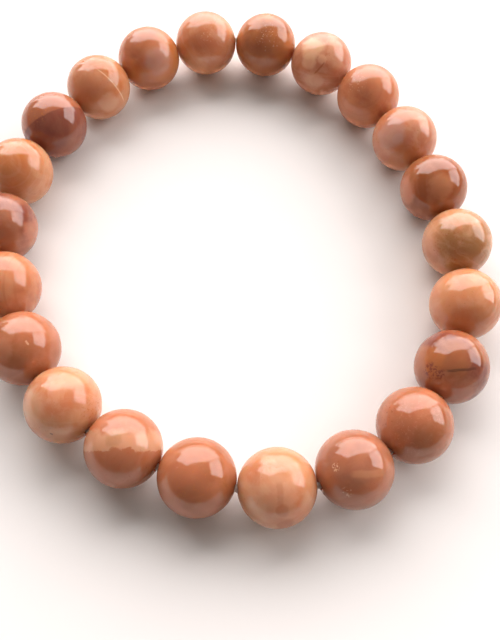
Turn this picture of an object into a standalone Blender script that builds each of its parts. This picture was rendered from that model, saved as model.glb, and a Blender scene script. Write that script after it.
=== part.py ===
"""A stretch bracelet: round polished stone beads on an elastic cord, lying flat in a loose oval.

Metres, +Z up. The origin is on the surface the bracelet lies on, under the middle of the oval.
The beads are numbered clockwise as seen from above, and -Y is the wearer's or viewer's side.
"""
import math

import bpy
from mathutils import Matrix, Vector

# Driving dimensions of one bead and of the string
BEAD_COUNT = 22
BEAD_DIAMETER = 0.008
BEAD_GAP = 0.00004
BORE_DIAMETER = 0.001
RIM_CHAMFER = 0.0001
CORD_DIAMETER = 0.0007

# The loose oval that the string was laid down in. Each entry swells the outline:
# how many lobes, by what share of the mean radius, and towards which direction in degrees
OUTLINE_LOBES = (
    (2, 0.0734, 107.0),
    (3, 0.0265, -40.8),
    (4, 0.0065, -4.4),
    (5, 0.0049, 13.6),
    (6, 0.0049, -12.0),
)
FIRST_BEAD_DIRECTION = 100.3

# How finely the round shapes are faceted
BEAD_SIDES = 16
ARC_SEGMENTS = 9
CORD_BEVEL_RESOLUTION = 2

BEAD_RADIUS = BEAD_DIAMETER / 2
BORE_RADIUS = BORE_DIAMETER / 2
BEAD_PITCH = BEAD_DIAMETER + BEAD_GAP
SOLVE_TOLERANCE = 1e-9

# Polished stone tints: colour (linear), roughness
STONES = {
    "pale_peach": ((0.72, 0.42, 0.28), 0.10),
    "peach_tan": ((0.50, 0.25, 0.16), 0.10),
    "salmon": ((0.60, 0.28, 0.16), 0.10),
    "rose": ((0.54, 0.26, 0.20), 0.10),
    "orange": ((0.54, 0.17, 0.065), 0.10),
    "terracotta": ((0.34, 0.10, 0.055), 0.10),
    "cinnamon": ((0.26, 0.095, 0.05), 0.10),
    "mauve": ((0.25, 0.10, 0.08), 0.10),
    "plum": ((0.16, 0.055, 0.04), 0.10),
}

# The stone of each bead, from bead 1 on
BEAD_STONES = (
    "pale_peach", "orange", "rose", "salmon", "rose", "cinnamon", "peach_tan", "salmon",
    "cinnamon", "terracotta", "mauve", "peach_tan", "terracotta", "terracotta", "peach_tan",
    "cinnamon", "salmon", "mauve", "peach_tan", "plum", "peach_tan", "orange",
)


def remove_startup_objects():
    """Empty the scene, so that only the bracelet is in it."""
    for thing in list(bpy.data.objects):
        bpy.data.objects.remove(thing, do_unlink=True)


def make_collection(name):
    """Add a collection to the scene."""
    collection = bpy.data.collections.new(name)
    bpy.context.scene.collection.children.link(collection)
    return collection


def make_material(name, colour, roughness):
    """Make a plain non-metallic surface."""
    material = bpy.data.materials.new(name)
    material.use_nodes = True
    shader = material.node_tree.nodes["Principled BSDF"]
    shader.inputs["Base Color"].default_value = (*colour, 1.0)
    shader.inputs["Roughness"].default_value = roughness
    shader.inputs["Metallic"].default_value = 0.0
    return material


def outline_point(angle, mean_radius):
    """The oval's point in one direction from its middle."""
    swell = 1.0
    for lobes, share, direction in OUTLINE_LOBES:
        swell += share * math.cos(lobes * (angle - math.radians(direction)))
    return Vector((math.cos(angle), math.sin(angle), 0.0)) * (mean_radius * swell)


def next_angle(angle, mean_radius):
    """Go clockwise along the oval until the next bead just clears this one."""
    here = outline_point(angle, mean_radius)
    near, far = 0.0, math.pi / 3
    while far - near > SOLVE_TOLERANCE:
        middle = (near + far) / 2
        if (outline_point(angle - middle, mean_radius) - here).length < BEAD_PITCH:
            near = middle
        else:
            far = middle
    return angle - far


def bead_angles(mean_radius):
    """Directions of all beads, and of the place where one more would go."""
    angles = [math.radians(FIRST_BEAD_DIRECTION)]
    for _ in range(BEAD_COUNT):
        angles.append(next_angle(angles[-1], mean_radius))
    return angles


def closing_radius():
    """The mean radius at which the last bead meets the first one."""
    round_radius = BEAD_PITCH / (2 * math.sin(math.pi / BEAD_COUNT))
    small, large = 0.9 * round_radius, 1.1 * round_radius
    while large - small > SOLVE_TOLERANCE:
        middle = (small + large) / 2
        angles = bead_angles(middle)
        if angles[0] - angles[-1] > 2 * math.pi:
            small = middle
        else:
            large = middle
    return large


def bead_centres():
    """Centres of all beads, with the oval's box centred over the origin."""
    mean_radius = closing_radius()
    centres = [outline_point(angle, mean_radius) for angle in bead_angles(mean_radius)[:-1]]
    middle = Vector((0.0, 0.0, -BEAD_RADIUS))
    for axis in (0, 1):
        along = [centre[axis] for centre in centres]
        middle[axis] = (min(along) + max(along)) / 2
    return [centre - middle for centre in centres]


def bore_directions(centres):
    """Each bore points from the bead before to the bead after."""
    count = len(centres)
    return [
        (centres[(i + 1) % count] - centres[i - 1]).normalized()
        for i in range(count)
    ]


def bead_profile():
    """Half of a drilled bead's section, in (distance from the bore's axis, height along it).

    It runs down the round outside, in over the rim, up the bore and out over the other rim.
    The outside is widened a little, so that its flats, not its corners, lie on the sphere.
    """
    rim_radius = BORE_RADIUS + RIM_CHAMFER
    first = math.asin(rim_radius / BEAD_RADIUS)
    step = (math.pi - 2 * first) / ARC_SEGMENTS
    widen = 1 / (math.cos(math.pi / BEAD_SIDES) * math.cos(step / 2))
    profile = []
    for i in range(ARC_SEGMENTS + 1):
        angle = first + i * step
        profile.append((BEAD_RADIUS * math.sin(angle) * widen, BEAD_RADIUS * math.cos(angle)))
    bore_end = BEAD_RADIUS * math.cos(first) - RIM_CHAMFER
    profile.append((BORE_RADIUS, -bore_end))
    profile.append((BORE_RADIUS, bore_end))
    return profile


def make_bead_mesh(name):
    """The closed profile as a mesh of edges, ready to be turned about its Z axis."""
    points = [(x, 0.0, z) for x, z in bead_profile()]
    edges = [(i, (i + 1) % len(points)) for i in range(len(points))]
    mesh = bpy.data.meshes.new(name)
    mesh.from_pydata(points, edges, [])
    return mesh


def make_bead(name, centre, bore_direction, stone, collection):
    """One drilled bead, turned about its bore so that a flat faces straight down."""
    mesh = make_bead_mesh(name)
    mesh.materials.append(stone)
    bead = bpy.data.objects.new(name, mesh)
    collection.objects.link(bead)

    turned = bead.modifiers.new("Turned", "SCREW")
    turned.axis = "Z"
    turned.steps = BEAD_SIDES
    turned.render_steps = BEAD_SIDES
    turned.use_merge_vertices = True
    turned.merge_threshold = 0.00001
    turned.use_smooth_shade = True

    half_side = Matrix.Rotation(math.pi / BEAD_SIDES, 4, "Z")
    lay_down = Matrix.Rotation(math.pi / 2, 4, "Y")
    heading = Matrix.Rotation(math.atan2(bore_direction.y, bore_direction.x), 4, "Z")
    bead.location = centre
    bead.rotation_euler = (heading @ lay_down @ half_side).to_euler()
    return bead


def cord_route(centres, directions):
    """Straight through every bore, with a small bend between neighbouring beads."""
    rim_radius = BORE_RADIUS + RIM_CHAMFER
    half_bore = math.sqrt(BEAD_RADIUS ** 2 - rim_radius ** 2)
    route = []
    for centre, direction in zip(centres, directions):
        route.append(centre - direction * half_bore)
        route.append(centre + direction * half_bore)
    return route


def make_cord(name, route, material, collection):
    """The elastic, a closed round tube with no caps to fill."""
    curve = bpy.data.curves.new(name, "CURVE")
    curve.dimensions = "3D"
    curve.bevel_depth = CORD_DIAMETER / 2
    curve.bevel_resolution = CORD_BEVEL_RESOLUTION
    spline = curve.splines.new("POLY")
    spline.points.add(len(route) - 1)
    for point, place in zip(spline.points, route):
        point.co = (*place, 1.0)
    spline.use_cyclic_u = True
    curve.materials.append(material)
    cord = bpy.data.objects.new(name, curve)
    collection.objects.link(cord)
    return cord


def main():
    remove_startup_objects()
    collection = make_collection("Beaded bracelet")

    stones = {}
    for stone_name, (colour, roughness) in STONES.items():
        stones[stone_name] = make_material(stone_name, colour, roughness)
    elastic = make_material("clear_elastic", (0.80, 0.78, 0.74), 0.35)

    centres = bead_centres()
    directions = bore_directions(centres)
    for i in range(BEAD_COUNT):
        stone = stones[BEAD_STONES[i]]
        make_bead(f"bead_{i + 1:02d}", centres[i], directions[i], stone, collection)
    make_cord("elastic_cord", cord_route(centres, directions), elastic, collection)


main()
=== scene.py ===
# %% [markdown]
# A stretch bracelet of polished peach moonstone, lying in a loose oval.
# Twenty-two drilled beads are threaded on one loop of elastic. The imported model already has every
# bead at its place and size, as a coarse faceted solid. This lesson gives each bead its true round
# shape, its stone and its light, and leaves every piece where the model says.

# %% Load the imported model
import math
import bpy
from mathutils import Matrix, Vector


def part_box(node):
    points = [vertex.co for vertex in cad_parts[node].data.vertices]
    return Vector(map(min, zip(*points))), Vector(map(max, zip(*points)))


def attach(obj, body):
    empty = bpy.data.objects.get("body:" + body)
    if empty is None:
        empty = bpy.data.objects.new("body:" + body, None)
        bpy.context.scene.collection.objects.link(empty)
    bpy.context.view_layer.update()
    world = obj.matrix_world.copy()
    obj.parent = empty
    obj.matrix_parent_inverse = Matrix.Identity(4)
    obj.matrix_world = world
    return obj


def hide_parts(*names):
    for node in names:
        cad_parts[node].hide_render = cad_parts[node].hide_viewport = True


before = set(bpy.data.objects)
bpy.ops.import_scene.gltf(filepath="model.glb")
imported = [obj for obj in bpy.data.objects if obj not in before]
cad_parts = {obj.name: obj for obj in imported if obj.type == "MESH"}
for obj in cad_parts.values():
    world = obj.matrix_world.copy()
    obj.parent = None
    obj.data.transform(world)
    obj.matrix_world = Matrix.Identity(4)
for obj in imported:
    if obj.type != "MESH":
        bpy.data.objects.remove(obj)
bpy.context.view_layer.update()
MM = 0.001

# %% [markdown]
# Where the beads are.
# On the real string each bead sits between two neighbours, and its hole points from one to the
# other. The centre of a bead is the centre of its node's box, so no place is written down twice:
# the shape of the oval, the holes and the elastic all follow from the model.

# %% Read the bead places from the model
bead_names = sorted(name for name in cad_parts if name.startswith("bead_"))
bead_count = len(bead_names)


def middle_of(name):
    """Centre of a node's box."""
    low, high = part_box(name)
    return (low + high) / 2


centres = [middle_of(name) for name in bead_names]
bore_ways = [
    (centres[(i + 1) % bead_count] - centres[i - 1]).normalized() for i in range(bead_count)
]
BEAD_RADIUS = 4 * MM
BORE_RADIUS = 0.5 * MM
CORD_RADIUS = 0.35 * MM
pitches = [(centres[i] - centres[i - 1]).length / MM for i in range(bead_count)]
print(bead_count, "beads, centre to centre", round(min(pitches), 3), "to", round(max(pitches), 3), "mm")

# %% [markdown]
# The camera.
# A close photo has strong perspective: the near beads look a third larger than the far ones. The
# camera's height, tilt and lens were worked out from the outlines of the beads, which all have one
# size, so each bead of the render should cover its bead of the photo.

# %% Place the camera
PHOTO_HEIGHT = 640
CAMERA_PLACE = Vector((2.635, -47.714, 77.482)) * MM
CAMERA_DOWN = math.radians(63.765)
CAMERA_ROLL = math.radians(3.087)
FOCAL_PIXELS = 743.7
SENSOR_HEIGHT = 36.0

camera_data = bpy.data.cameras.new("camera")
camera_data.sensor_fit = "VERTICAL"
camera_data.sensor_height = SENSOR_HEIGHT
camera_data.lens = FOCAL_PIXELS / PHOTO_HEIGHT * SENSOR_HEIGHT
camera_data.clip_start = 1 * MM
camera_data.clip_end = 20.0
camera = bpy.data.objects.new("camera", camera_data)
bpy.context.scene.collection.objects.link(camera)
camera_turn = Matrix.Rotation(math.pi / 2 - CAMERA_DOWN, 4, "X") @ Matrix.Rotation(CAMERA_ROLL, 4, "Z")
camera.matrix_world = Matrix.Translation(CAMERA_PLACE) @ camera_turn
bpy.context.scene.camera = camera
print("lens", round(camera_data.lens, 2), "mm on a", SENSOR_HEIGHT, "mm sensor")

# %% [markdown]
# Shader maths as plain Python.
# A node tree is easier to read as arithmetic. Wire holds one socket, and its operators add Math
# nodes, so 1 - mask or cloud * 0.5 reads as it would on paper. Every other node comes from
# Graph.node, which takes the node's type, its settings and what goes into its sockets.

# %% A small class for wires and one for graphs
class Wire:
    """One output socket of a node tree, with arithmetic."""

    def __init__(self, graph, socket):
        self.graph = graph
        self.socket = socket

    def math(self, operation, *others):
        return self.graph.node("ShaderNodeMath", {"operation": operation}, [self, *others])

    def __add__(self, other):
        return self.math("ADD", other)

    def __sub__(self, other):
        return self.math("SUBTRACT", other)

    def __rsub__(self, other):
        return self.graph.node("ShaderNodeMath", {"operation": "SUBTRACT"}, [other, self])

    def __mul__(self, other):
        return self.math("MULTIPLY", other)

    def __rmul__(self, other):
        return self.math("MULTIPLY", other)

    def __truediv__(self, other):
        return self.math("DIVIDE", other)

    def smooth(self, start, end):
        """0 below start, 1 above end, with a soft step between them."""
        return self.graph.node("ShaderNodeMapRange", {"interpolation_type": "SMOOTHSTEP"}, {
            "Value": self, "From Min": start, "From Max": end,
        })


class Graph:
    """A node tree that is filled in by expressions."""

    def __init__(self, tree):
        self.tree = tree

    def node(self, kind, settings=None, values=(), output=0):
        """Make a node: its settings first, then its sockets by order or by name."""
        made = self.tree.nodes.new(kind)
        for name, setting in (settings or {}).items():
            setattr(made, name, setting)
        pairs = values.items() if isinstance(values, dict) else enumerate(values)
        for key, value in pairs:
            self.plug(made.inputs[key], value)
        return Wire(self, made.outputs[output])

    def plug(self, socket, value):
        if isinstance(value, Wire):
            self.tree.links.new(value.socket, socket)
        else:
            socket.default_value = value

    def vector(self, operation, *values, output=0):
        return self.node("ShaderNodeVectorMath", {"operation": operation}, values, output)

    def scaled(self, vector, factor):
        return self.node("ShaderNodeVectorMath", {"operation": "SCALE"}, {"Vector": vector, "Scale": factor})

    def dot(self, a, b):
        return self.vector("DOT_PRODUCT", a, b, output="Value")

    def noise(self, vector, scale, detail=2.0, roughness=0.5, distortion=0.0):
        return self.node("ShaderNodeTexNoise", {}, {
            "Vector": vector, "Scale": scale,
            "Detail": detail, "Roughness": roughness, "Distortion": distortion,
        })

    def mix(self, factor, first, second):
        """Blend two colours."""
        settings = {"data_type": "RGBA", "blend_type": "MIX"}
        return self.node("ShaderNodeMix", settings, {"Factor": factor, 6: first, 7: second}, 2)


print("wires and graphs ready")

# %% [markdown]
# The light.
# The photographed beads mirror a tall window that wraps round the corner of the room: a broad
# pane behind the bracelet and a narrower one on its right, which join as a hook on every bead.
# Soft panels stand there, with a slim one low down for the bright line under the sill. The rest of
# the room is dim, so the stone keeps its depth. The camera doesn't see the panels.

# %% Stand the window panels behind and beside the bracelet
WINDOW_TINT = (1.0, 0.93, 0.93)
WINDOW_RADIANCE = 5.0
BEHIND = (-20, 0.6)
RIGHT = (70, 1.44)


def add_window(name, wall, across, up, radiance=WINDOW_RADIANCE):
    """A panel on a wall: its heading, clockwise from +Y, its distance, and the span in shares of it."""
    facing_degrees, distance = wall
    left, right = across
    bottom, top = up
    width, height = (right - left) * distance, (top - bottom) * distance
    data = bpy.data.lights.new(name, "AREA")
    data.shape = "RECTANGLE"
    data.size, data.size_y = width, height
    data.energy = radiance * math.pi * width * height
    data.color = WINDOW_TINT
    panel = bpy.data.objects.new(name, data)
    bpy.context.scene.collection.objects.link(panel)
    heading = -math.radians(facing_degrees)
    out = Vector((-math.sin(heading), math.cos(heading), 0))
    side = Vector((math.cos(heading), math.sin(heading), 0))
    middle = out * distance + side * (left + right) / 2 * distance
    middle.z = (bottom + top) / 2 * distance
    panel.matrix_world = (
        Matrix.Translation(middle) @ Matrix.Rotation(heading, 4, "Z") @ Matrix.Rotation(-math.pi / 2, 4, "X")
    )
    panel.visible_camera = False
    print(name, round(width, 2), "by", round(height, 2), "m,", round(data.energy, 1), "W")


add_window("window_behind", BEHIND, (-0.36, 2.3), (0.15, 2.15))
add_window("window_left_edge", BEHIND, (-0.80, -0.36), (0.42, 2.15))
add_window("window_right", RIGHT, (-0.40, 0.40), (0.20, 1.12))
add_window("sill_line", BEHIND, (-0.45, 1.3), (0.045, 0.075), 2 * WINDOW_RADIANCE)

# %% [markdown]
# The floor and the room.
# A plain pale sheet lies under the bracelet. Near the beads it is an ordinary matt surface that
# takes their shadows. Further out it turns into an evenly bright backdrop, the same as the world
# that the camera sees, so no horizon shows from a low angle.

# %% Lay the floor and dim the room
PAPER = (0.93, 0.925, 0.91, 1.0)
PAPER_MATT = (0.80, 0.79, 0.765, 1.0)
ROOM_TINT = (1.0, 0.93, 0.88, 1.0)
ROOM_STRENGTH = 0.22
FLOOR_HALF_SIZE = 3.0
MATT_REACH, BACKDROP_REACH = 0.10, 0.28

world = bpy.data.worlds.new("room")
bpy.context.scene.world = world
world.use_nodes = True
world.node_tree.nodes.clear()
room = Graph(world.node_tree)
dim = room.node("ShaderNodeBackground", {}, {"Color": ROOM_TINT, "Strength": ROOM_STRENGTH})
pale = room.node("ShaderNodeBackground", {}, {"Color": PAPER, "Strength": 1.0})
seen = room.node("ShaderNodeLightPath", output="Is Camera Ray")
surroundings = room.node("ShaderNodeMixShader", {}, [seen, dim, pale])
world_output = world.node_tree.nodes.new("ShaderNodeOutputWorld")
world.node_tree.links.new(surroundings.socket, world_output.inputs["Surface"])

floor_mesh = bpy.data.meshes.new("floor")
corners = [(x * FLOOR_HALF_SIZE, y * FLOOR_HALF_SIZE, 0.0) for x, y in ((-1, -1), (1, -1), (1, 1), (-1, 1))]
floor_mesh.from_pydata(corners, [], [(0, 1, 2, 3)])
floor = bpy.data.objects.new("floor", floor_mesh)
bpy.context.scene.collection.objects.link(floor)
paper = bpy.data.materials.new("pale_sheet")
paper.use_nodes = True
paper.node_tree.nodes.clear()
sheet = Graph(paper.node_tree)
place = sheet.node("ShaderNodeTexCoord", output="Object")
away = sheet.vector("LENGTH", place, output="Value").smooth(MATT_REACH, BACKDROP_REACH)
matt = sheet.node("ShaderNodeBsdfDiffuse", {}, {"Color": PAPER_MATT})
glow = sheet.node("ShaderNodeEmission", {}, {"Color": PAPER, "Strength": 1.0})
blend = sheet.node("ShaderNodeMixShader", {}, [away, matt, glow])
sheet_output = paper.node_tree.nodes.new("ShaderNodeOutputMaterial")
paper.node_tree.links.new(blend.socket, sheet_output.inputs["Surface"])
floor_mesh.materials.append(paper)
bpy.context.scene.view_settings.view_transform = "Standard"
print("floor", 2 * FLOOR_HALF_SIZE, "m square")

# %% [markdown]
# The shape of a bead.
# A real bead is tumbled round, then drilled, then polished, which rounds the rim of the hole. It
# could be a sphere with a Boolean hole, but turning its half section round the hole's line is how
# a lathe would think of it, and the mesh stays even. The tree draws the section as an arc, closes
# it with the straight wall of the hole, rounds the two rims, and sweeps it round the hole.

# %% Build the tree that turns a drilled bead
BEAD_INPUTS = (
    ("Bead Radius", "NodeSocketFloat", BEAD_RADIUS),
    ("Bore Radius", "NodeSocketFloat", BORE_RADIUS),
    ("Rim Rounding", "NodeSocketFloat", 0.09 * MM),
    ("Arc Points", "NodeSocketInt", 60),
    ("Sides", "NodeSocketInt", 72),
    ("Unevenness", "NodeSocketFloat", 0.010 * MM),
    ("Seed", "NodeSocketFloat", 0.0),
    ("Centre", "NodeSocketVector", (0.0, 0.0, 0.0)),
    ("Bore Way", "NodeSocketVector", (1.0, 0.0, 0.0)),
    ("Stone", "NodeSocketMaterial", None),
)
UNEVEN_WAVE = 2.6 * MM
RIM_STEPS = 5


def new_tree(name, inputs):
    """An empty geometry tree with named inputs."""
    tree = bpy.data.node_groups.new(name, "GeometryNodeTree")
    tree.interface.new_socket("Geometry", in_out="OUTPUT", socket_type="NodeSocketGeometry")
    for title, kind, default in inputs:
        socket = tree.interface.new_socket(title, in_out="INPUT", socket_type=kind)
        if default is not None:
            socket.default_value = default
    return tree


def build_bead_tree():
    """Section, rims, sweep, unevenness and place, in that order."""
    tree = new_tree("drilled bead", BEAD_INPUTS)
    g = Graph(tree)
    source = tree.nodes.new("NodeGroupInput")
    given = {title: Wire(g, source.outputs[title]) for title, _, _ in BEAD_INPUTS}

    rim_angle = (given["Bore Radius"] / given["Bead Radius"]).math("ARCSINE")
    arc = g.node("GeometryNodeCurveArc", {"mode": "RADIUS"}, {
        "Resolution": given["Arc Points"],
        "Radius": given["Bead Radius"],
        "Start Angle": rim_angle - math.pi / 2,
        "Sweep Angle": math.pi - 2 * rim_angle,
    })
    section = g.node("GeometryNodeSetSplineCyclic", {}, {"Geometry": arc, "Cyclic": True})
    index = g.node("GeometryNodeInputIndex")
    is_first = index.math("COMPARE", 0.0, 0.5)
    is_last = index.math("COMPARE", given["Arc Points"] - 1, 0.5)
    ends = is_first.math("MAXIMUM", is_last)
    rounded = g.node("GeometryNodeFilletCurve", {"mode": "POLY"}, {
        "Curve": section, "Count": RIM_STEPS, "Radius": ends * given["Rim Rounding"],
    })
    inward = g.node("ShaderNodeCombineXYZ", {}, {"X": given["Bore Radius"] * -1.0})
    shifted = g.node("GeometryNodeTransform", {}, {"Geometry": rounded, "Translation": inward})
    ring = g.node("GeometryNodeCurvePrimitiveCircle", {"mode": "RADIUS"}, {
        "Resolution": given["Sides"], "Radius": given["Bore Radius"],
    })
    turned = g.node("GeometryNodeCurveToMesh", {}, {"Curve": ring, "Profile Curve": shifted})

    position = g.node("GeometryNodeInputPosition")
    apart = g.node("ShaderNodeCombineXYZ", {}, {"X": given["Seed"] * 1.7, "Y": given["Seed"] * 3.1})
    sample = g.vector("ADD", g.scaled(position, 1 / UNEVEN_WAVE), apart)
    lift = (g.noise(sample, 1.0, 1.0) - 0.5) * given["Unevenness"] * 2.0
    offset = g.scaled(g.vector("NORMALIZE", position), lift)
    uneven = g.node("GeometryNodeSetPosition", {}, {"Geometry": turned, "Offset": offset})

    facing_way = g.node("FunctionNodeAlignRotationToVector", {"axis": "Z"}, {"Vector": given["Bore Way"]})
    placed = g.node("GeometryNodeTransform", {}, {
        "Geometry": uneven, "Translation": given["Centre"], "Rotation": facing_way,
    })
    smooth = g.node("GeometryNodeSetShadeSmooth", {}, {"Geometry": placed})
    real = g.node("GeometryNodeRealizeInstances", {}, {"Geometry": smooth})
    finished = g.node("GeometryNodeSetMaterial", {}, {"Geometry": real, "Material": given["Stone"]})
    sink = tree.nodes.new("NodeGroupOutput")
    tree.links.new(finished.socket, sink.inputs["Geometry"])
    return tree


bead_tree = build_bead_tree()
print("tree with", len(bead_tree.nodes), "nodes")

# %% [markdown]
# The colours of the stone.
# Peach moonstone runs from nearly white through tan and orange to a dark plum. One named palette
# serves all beads, so that a bead is described by words: its body, its clouds and its depths.
# One balance of red, green and blue then goes over the whole palette. It isn't a measured
# property of the stone: it was set after a test render, from the mean colour of the beads'
# middles there and in the photo, so it also makes up for what the light gets wrong.

# %% Name the tints
TINTS = {
    "cream": (0.70, 0.58, 0.44),
    "milk": (0.62, 0.47, 0.36),
    "lilac": (0.50, 0.38, 0.37),
    "pale_peach": (0.57, 0.33, 0.19),
    "peach_tan": (0.52, 0.31, 0.19),
    "salmon": (0.50, 0.25, 0.145),
    "rose": (0.49, 0.26, 0.175),
    "orange": (0.45, 0.21, 0.085),
    "terracotta": (0.41, 0.19, 0.11),
    "olive": (0.34, 0.21, 0.10),
    "cinnamon": (0.33, 0.15, 0.075),
    "mauve": (0.33, 0.165, 0.11),
    "plum": (0.22, 0.085, 0.065),
    "rust": (0.28, 0.10, 0.035),
    "soot": (0.07, 0.035, 0.025),
}
PALETTE_BALANCE = (1.27, 1.03, 0.85)


def tint(name):
    """A tint of the palette, with the balance that brings the render's mean colour to the photo's."""
    red, green, blue = (part * share for part, share in zip(TINTS[name], PALETTE_BALANCE))
    return (red, green, blue, 1.0)


print(len(TINTS), "tints")

# %% [markdown]
# Marks on a bead.
# No two real beads are alike: one has a cream patch, the next a dark streak or a cleavage line. A
# mark is placed where the camera sees it, as so many radii to the right of the bead's middle and
# so many down. That spot becomes a fixed direction from the centre of the bead, so the mark stays
# on the stone from every side. A little noise makes its edge ragged.

# %% Masks for patches, streaks, specks, layers and cleavage faces
# A mask fades out between two shares of its size
PATCH_OUTSIDE, PATCH_INSIDE = 1.25, 0.7
STREAK_OUTSIDE, STREAK_INSIDE = 1.2, 0.8
STREAK_CORE = 0.4


def spot_way(centre, spot):
    """Direction from a bead's centre to a spot that the camera sees, in radii right and down."""
    across, down = spot
    view = (CAMERA_PLACE - centre).normalized()
    right = camera_turn.to_3x3() @ Vector((1, 0, 0))
    right = (right - view * right.dot(view)).normalized()
    up = view.cross(right)
    towards = math.sqrt(max(0.0, 1 - across ** 2 - down ** 2))
    return right * across - up * down + view * towards


class Stone:
    """The surface of one bead and the masks of its marks."""

    def __init__(self, graph, centre, seed):
        self.graph = graph
        self.centre = centre
        here = graph.node("ShaderNodeTexCoord", output="Object")
        self.local = graph.scaled(graph.vector("SUBTRACT", here, tuple(centre)), 1 / BEAD_RADIUS)
        self.drift = graph.vector("ADD", self.local, (seed * 3.7, seed * 1.3, seed * 2.9))
        self.wobble = graph.noise(self.drift, 3.0, 4.0, 0.6) - 0.5
        self.grain = graph.noise(self.drift, 15.0, 2.0, 0.6)

    def along(self, way):
        return self.graph.dot(self.local, way)

    def patch(self, spot, size, ragged=0.35):
        """A round spot of so many radians, with an uneven edge."""
        nearness = self.along(spot_way(self.centre, spot)) + self.wobble * (3 * ragged * size ** 2)
        return nearness.smooth(math.cos(size * PATCH_OUTSIDE), math.cos(size * PATCH_INSIDE))

    def plane(self, start, end):
        """The plane through the centre and two spots: its normal, and the two directions."""
        first, last = spot_way(self.centre, start), spot_way(self.centre, end)
        return first.cross(last).normalized(), first, last

    def streak(self, start, end, width, ragged=0.08):
        """A thin line from one spot to another."""
        normal, first, last = self.plane(start, end)
        off = (self.along(normal) + self.wobble * ragged).math("ABSOLUTE")
        middle = (first + last).normalized()
        reach = math.acos(middle.dot(first))
        ends = self.along(middle).smooth(math.cos(reach * STREAK_OUTSIDE), math.cos(reach * STREAK_INSIDE))
        return (1 - off.smooth(width * STREAK_CORE, width)) * ends

    def beyond(self, start, end, soft=0.03):
        """Everything on one side of a cleavage face, to the right on the way from start to end."""
        normal, _, _ = self.plane(start, end)
        return 1 - (self.along(normal) + self.wobble * 0.05).smooth(-soft, soft)

    def specks(self, spot, size, rarity=0.60):
        """Small grains inside a round spot."""
        return self.patch(spot, size) * self.grain.smooth(rarity, rarity + 0.05)

    def layer(self, low, high, ragged=0.30):
        """A level layer of the stone, between two heights in radii as the camera sees them."""
        height = self.along(spot_way(self.centre, (0.0, -1.0))) + self.wobble * ragged
        return height.smooth(low - 0.02, low + 0.03) * (1 - height.smooth(high - 0.15, high + 0.1))

    def rings(self, spot, pitch, fineness=0.5):
        """Growth lines round a spot, the thinner the nearer fineness is to 1."""
        turns = (self.along(spot_way(self.centre, spot)) + self.wobble * 0.06) / pitch
        return turns.math("SINE").smooth(fineness, 1.0)


print("mark masks ready")
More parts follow.
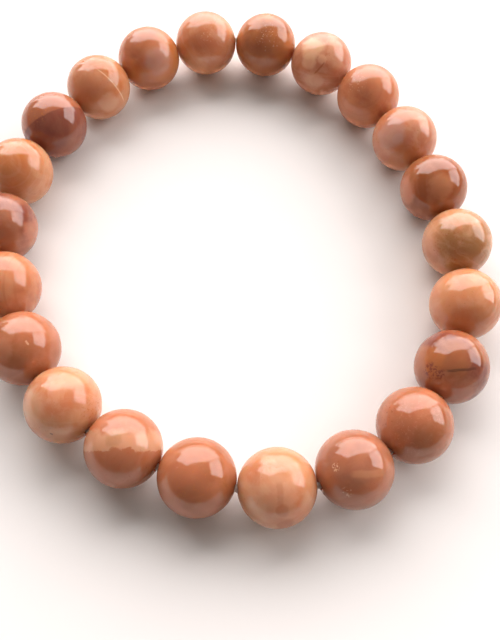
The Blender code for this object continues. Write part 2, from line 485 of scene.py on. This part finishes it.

# %% [markdown]
# Each bead in words.
# The list follows the string clockwise from the bead at the top, left of the middle. A bead has a
# body tint, the tint of its clouds, the tint of its depths, how cloudy it is, and its own marks.
# A mark is a kind, a tint, how strongly it covers, and the places that its mask needs.
# A few marks are painted light: painted reflections of the floor and a painted glow.

# %% Describe the beads
BEADS = (
    ("pale_peach", "milk", "salmon", 0.35, (
        ("specks", "cream", 0.5, (0.05, -0.32), 0.30),
    )),
    ("orange", "salmon", "cinnamon", 0.30, (
        ("specks", "cream", 0.7, (0.10, -0.28), 0.42, 0.62),
        # Painted reflection of the floor's shadow: the darker lower part of this bead.
        ("patch", "cinnamon", 0.4, (0.0, 0.45), 0.70),
    )),
    ("rose", "milk", "terracotta", 0.55, (
        ("patch", "cream", 0.75, (-0.32, -0.52), 0.38),
        ("patch", "cream", 0.60, (-0.42, -0.08), 0.24),
        ("patch", "cream", 0.55, (0.03, -0.14), 0.15),
        ("patch", "milk", 0.50, (-0.25, 0.52), 0.30),
        ("streak", "cinnamon", 0.6, (-0.20, 0.30), (0.10, -0.05), 0.035),
    )),
    ("salmon", "pale_peach", "terracotta", 0.35, (
        ("rings", "terracotta", 0.25, (-0.2, -0.3), 0.030),
        ("specks", "cream", 0.5, (-0.40, -0.45), 0.35),
    )),
    ("rose", "milk", "salmon", 0.45, (
        ("patch", "lilac", 0.65, (-0.45, -0.15), 0.45),
        ("patch", "lilac", 0.70, (-0.20, 0.00), 0.16),
        # Painted glow: the orange lower part, where light that went through this bead comes out.
        ("patch", "orange", 0.60, (0.05, 0.62), 0.50),
        ("streak", "cinnamon", 0.5, (-0.55, -0.62), (0.25, -0.85), 0.06),
    )),
    ("cinnamon", "salmon", "rust", 0.30, (
        ("patch", "peach_tan", 0.45, (0.22, -0.05), 0.35),
        ("streak", "rust", 0.85, (-0.32, -0.45), (-0.18, 0.75), 0.16, 0.20),
        ("patch", "rose", 0.75, (-0.88, 0.10), 0.45),
    )),
    ("peach_tan", "milk", "olive", 0.45, (
        ("patch", "olive", 0.30, (-0.15, 0.05), 0.45),
        ("patch", "rose", 0.45, (-0.80, 0.20), 0.40),
        ("specks", "cinnamon", 0.45, (-0.20, 0.15), 0.50, 0.58),
    )),
    ("pale_peach", "milk", "salmon", 0.40, (
        ("patch", "orange", 0.55, (0.15, 0.50), 0.50),
    )),
    ("cinnamon", "rose", "plum", 0.35, (
        ("patch", "orange", 0.55, (-0.45, -0.15), 0.35),
        ("patch", "rose", 0.70, (0.10, 0.75), 0.55),
        ("streak", "soot", 0.60, (-0.10, 0.10), (0.60, 0.04), 0.050, 0.10),
        ("specks", "plum", 0.95, (-0.50, 0.12), 0.22, 0.50),
        ("specks", "plum", 0.8, (-0.30, 0.16), 0.16, 0.52),
    )),
    ("terracotta", "rose", "cinnamon", 0.45, (
        ("specks", "rose", 0.55, (0.0, -0.05), 0.80, 0.56),
        ("patch", "cinnamon", 0.65, (0.35, 0.35), 0.40),
        ("specks", "rust", 0.7, (-0.70, -0.25), 0.35),
    )),
    ("mauve", "rose", "terracotta", 0.30, (
        ("streak", "peach_tan", 0.60, (-0.05, 0.12), (0.70, 0.08), 0.13, 0.12),
        ("specks", "cream", 0.9, (-0.45, -0.05), 0.10, 0.50),
        ("specks", "milk", 0.8, (-0.20, 0.55), 0.14, 0.52),
    )),
    ("peach_tan", "milk", "salmon", 0.50, (
        ("patch", "milk", 0.45, (-0.05, 0.25), 0.60),
        ("streak", "terracotta", 0.35, (0.05, -0.10), (0.08, 0.45), 0.11, 0.18),
        ("patch", "terracotta", 0.50, (0.12, 0.55), 0.17),
        ("patch", "rust", 0.40, (0.20, 0.88), 0.22),
    )),
    ("terracotta", "salmon", "cinnamon", 0.25, (
        ("specks", "orange", 0.7, (0.0, 0.20), 0.80, 0.62),
    )),
    ("terracotta", "rose", "cinnamon", 0.30, (
        ("layer", "milk", 0.60, -0.04, 0.42, 0.40),
        ("patch", "olive", 0.40, (-0.25, -0.20), 0.20),
        ("patch", "terracotta", 0.30, (-0.85, -0.20), 0.30),
    )),
    ("peach_tan", "milk", "salmon", 0.45, (
        # Painted reflection of the pale floor: the milky left rim of this bead.
        ("patch", "milk", 0.60, (-0.78, 0.10), 0.42),
        ("streak", "soot", 0.9, (0.56, -0.42), (0.62, -0.36), 0.05),
        ("streak", "soot", 0.7, (-0.32, 0.70), (-0.22, 0.74), 0.04),
        ("specks", "orange", 0.7, (0.80, 0.10), 0.45, 0.58),
    )),
    ("terracotta", "rose", "cinnamon", 0.40, (
        ("patch", "rose", 0.60, (-0.65, 0.0), 0.40),
        ("streak", "milk", 0.8, (0.04, -0.20), (0.12, -0.08), 0.04),
    )),
    ("salmon", "pale_peach", "terracotta", 0.40, (
        ("patch", "peach_tan", 0.70, (-0.15, -0.10), 0.45),
        ("rings", "terracotta", 0.35, (0.85, 0.0), 0.035),
    )),
    ("mauve", "rose", "plum", 0.35, (
        ("patch", "rust", 0.55, (-0.10, 0.35), 0.45),
        ("patch", "rose", 0.60, (0.85, 0.15), 0.40),
    )),
    ("peach_tan", "milk", "orange", 0.35, (
        ("patch", "orange", 0.50, (-0.25, 0.10), 0.55),
        ("rings", "milk", 0.14, (-0.35, -0.25), 0.028, 0.6),
    )),
    ("plum", "mauve", "plum", 0.30, (
        ("beyond", "terracotta", 0.75, (0.25, -0.50), (-0.78, 0.05)),
        ("specks", "orange", 0.9, (-0.50, -0.42), 0.35, 0.56),
        ("patch", "mauve", 0.60, (0.50, 0.70), 0.40),
    )),
    ("peach_tan", "milk", "orange", 0.35, (
        ("patch", "orange", 0.40, (-0.40, 0.10), 0.50),
        ("beyond", "rose", 0.35, (0.05, -0.50), (0.75, 0.38)),
        ("streak", "cream", 0.85, (0.02, -0.52), (0.75, 0.38), 0.028, 0.02),
        ("patch", "milk", 0.60, (0.28, 0.48), 0.32),
    )),
    ("orange", "salmon", "terracotta", 0.25, (
        ("patch", "rose", 0.70, (0.28, 0.05), 0.54, 0.12),
        ("patch", "lilac", 0.60, (0.28, 0.08), 0.40, 0.15),
    )),
)
print(len(BEADS), "beads with", sum(len(bead[4]) for bead in BEADS), "marks")

# %% [markdown]
# The stone.
# Moonstone is feldspar: milky, a little see-through, with clouds, silky layers along its cleavage
# and rusty grains. Light goes in at the window side and comes out warm underneath. A real volume
# would be slow and noisy in twenty-two beads, so the Principled shader's subsurface and a share
# of transmission carry the glow, and the clouds, layers and marks are mixed into its colour.

# %% Mix the moonstone
STONE_IOR = 1.53
STONE_CLEARNESS = 0.22
GLOW_DEPTH = 3.0 * MM
GLOW_SPREAD = (1.0, 0.5, 0.3)
PIT_DEPTH = 0.015 * MM
LAYER_COVER = 0.22
FLECK_COVER = 0.35
SMOOTHEST = 0.012


def moonstone(name, centre, bead, seed):
    """A polished bead's stone: a body tint with clouds, deeper patches, layers, flecks and marks."""
    body, cloud, deep, cloudiness, marks = bead
    material = bpy.data.materials.new(name)
    material.use_nodes = True
    g = Graph(material.node_tree)
    shader = material.node_tree.nodes["Principled BSDF"]
    stone = Stone(g, centre, seed)

    clouds = g.noise(stone.drift, 1.6, 6.0, 0.60, 0.6)
    depths = g.noise(stone.drift, 0.9, 3.0, 0.5, 0.3)
    layer_way = Vector((math.sin(seed * 2.1), math.cos(seed * 1.7), 0.9)).normalized()
    bent = stone.along(layer_way) * 5.0 + clouds * 1.6 + depths * 2.0
    layers = g.node("ShaderNodeTexNoise", {"noise_dimensions": "1D"}, {
        "W": bent, "Scale": 1.0, "Detail": 3.0,
    })

    colour = g.mix(depths.smooth(0.42, 0.62), tint(body), tint(deep))
    colour = g.mix(clouds.smooth(0.46, 0.66) * cloudiness, colour, tint(cloud))
    colour = g.mix(layers.smooth(0.52, 0.68) * LAYER_COVER, colour, tint(cloud))
    colour = g.mix(stone.grain.smooth(0.66, 0.74) * FLECK_COVER, colour, tint("rust"))
    # Marks are the stone's own markings, apart from a few painted reflections and a painted glow.
    for kind, mark_tint, cover, *places in marks:
        mask = getattr(stone, kind)(*places)
        colour = g.mix(mask * cover, colour, tint(mark_tint))
    g.plug(shader.inputs["Base Color"], colour)

    pits = g.noise(stone.drift, 11.0, 1.0).smooth(0.70, 0.78)
    polish = clouds * 0.02 + pits * 0.12
    g.plug(shader.inputs["Roughness"], polish + SMOOTHEST)
    dents = g.node("ShaderNodeBump", {}, {"Strength": 0.5, "Distance": PIT_DEPTH, "Height": 1 - pits})
    g.plug(shader.inputs["Normal"], dents)
    shader.inputs["IOR"].default_value = STONE_IOR
    shader.inputs["Transmission Weight"].default_value = STONE_CLEARNESS
    shader.inputs["Subsurface Weight"].default_value = 1.0
    shader.inputs["Subsurface Radius"].default_value = GLOW_SPREAD
    shader.inputs["Subsurface Scale"].default_value = GLOW_DEPTH
    return material


print("stone of index", STONE_IOR, "in which red light goes about", round(GLOW_DEPTH / MM, 1), "mm")

# %% [markdown]
# Making the beads.
# Each bead starts as an object with nothing in its mesh and the lathe tree as its modifier. The
# tree's inputs are set by identifier before anything is evaluated, and the result is kept as a
# plain mesh, so that the finished bead has no modifier left. It then takes the place of its CAD
# node, which is hidden, and rides on its body.

# %% Turn and polish every bead
def plain_result(piece):
    """Replace a piece's modifiers by the plain mesh that they make."""
    bpy.context.view_layer.update()
    evaluated = piece.evaluated_get(bpy.context.evaluated_depsgraph_get())
    piece_mesh = bpy.data.meshes.new_from_object(evaluated)
    piece.modifiers.clear()
    piece.data = piece_mesh
    return piece


def set_inputs(modifier, values):
    """Give a modifier's tree its inputs by identifier."""
    identifiers = {
        item.name: item.identifier for item in modifier.node_group.interface.items_tree
        if item.in_out == "INPUT"
    }
    for title, value in values.items():
        modifier[identifiers[title]] = value


def turn_bead(name, centre, bore_way, stone, seed):
    """One finished bead as a plain mesh at its place."""
    piece = bpy.data.objects.new(name + "_stone", bpy.data.meshes.new(name))
    bpy.context.scene.collection.objects.link(piece)
    lathe = piece.modifiers.new("lathe", "NODES")
    lathe.node_group = bead_tree
    set_inputs(lathe, {
        "Centre": tuple(centre), "Bore Way": tuple(bore_way), "Stone": stone, "Seed": float(seed),
    })
    return plain_result(piece)


for i, name in enumerate(bead_names):
    stone_material = moonstone(name + "_moonstone", centres[i], BEADS[i], seed=i + 1)
    bead_piece = turn_bead(name, centres[i], bore_ways[i], stone_material, seed=i + 1)
    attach(bead_piece, "root")
    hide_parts(name)
print(bead_count, "beads of", len(bead_piece.data.polygons), "faces")

# %% [markdown]
# The elastic.
# A stretch bracelet is threaded on a clear, slightly fibrous elastic, pulled through every bead and
# knotted inside one. Only a hair's breadth of it shows where two beads touch. A closed curve runs
# straight through each hole and bends between the beads, and its bevel gives it a round section.
# It is held by the beads all the way, so it isn't a free cord.

# %% Thread the elastic
RIM_CHAMFER = 0.1 * MM
HALF_BORE = math.sqrt(BEAD_RADIUS ** 2 - (BORE_RADIUS + RIM_CHAMFER) ** 2)
BORE_STATIONS = (-1.0, -0.6, 0.0, 0.6, 1.0)
STRAND_SCALE = 2600.0
# The strand tints are browner than clear elastic: painted shade of the seams where beads touch; their
# mottling is the fibres.
STRAND_DARK_AND_SEAM_SHADE = (0.50, 0.36, 0.28, 1.0)
STRAND_LIGHT_AND_SEAM_SHADE = (0.68, 0.55, 0.46, 1.0)
ELASTIC_IOR = 1.5
ELASTIC_CLEARNESS = 0.5
ELASTIC_BEVEL_RESOLUTION = 4


def elastic_material():
    """Clear elastic with a fine mottling for its fibres, tinted warm brown-grey as painted shade where beads
    touch.
    """
    material = bpy.data.materials.new("clear_elastic")
    material.use_nodes = True
    g = Graph(material.node_tree)
    shader = material.node_tree.nodes["Principled BSDF"]
    here = g.node("ShaderNodeTexCoord", output="Object")
    strands = g.noise(here, STRAND_SCALE, 2.0, 0.6)
    colour = g.mix(strands.smooth(0.35, 0.65), STRAND_DARK_AND_SEAM_SHADE, STRAND_LIGHT_AND_SEAM_SHADE)
    g.plug(shader.inputs["Base Color"], colour)
    g.plug(shader.inputs["Roughness"], strands * 0.2 + 0.25)
    shader.inputs["IOR"].default_value = ELASTIC_IOR
    shader.inputs["Transmission Weight"].default_value = ELASTIC_CLEARNESS
    return material


def thread_elastic():
    """A closed round tube through all bores."""
    curve = bpy.data.curves.new("elastic", "CURVE")
    curve.dimensions = "3D"
    curve.bevel_depth = CORD_RADIUS
    curve.bevel_resolution = ELASTIC_BEVEL_RESOLUTION
    route = []
    for centre, way in zip(centres, bore_ways):
        route += [centre + way * share * HALF_BORE for share in BORE_STATIONS]
    spline = curve.splines.new("POLY")
    spline.points.add(len(route) - 1)
    for point, place_on_route in zip(spline.points, route):
        point.co = (*place_on_route, 1.0)
    spline.use_cyclic_u = True
    guide = bpy.data.objects.new("elastic_guide", curve)
    bpy.context.scene.collection.objects.link(guide)
    bpy.context.view_layer.update()
    evaluated = guide.evaluated_get(bpy.context.evaluated_depsgraph_get())
    tube = bpy.data.meshes.new_from_object(evaluated)
    bpy.data.objects.remove(guide, do_unlink=True)
    tube.shade_smooth()
    tube.materials.clear()
    tube.materials.append(elastic_material())
    piece = bpy.data.objects.new("elastic_thread", tube)
    bpy.context.scene.collection.objects.link(piece)
    length = sum((route[i] - route[i - 1]).length for i in range(len(route)))
    print("elastic", round(length / MM, 1), "mm round")
    return piece


elastic = thread_elastic()
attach(elastic, "root")
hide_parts("elastic_cord")
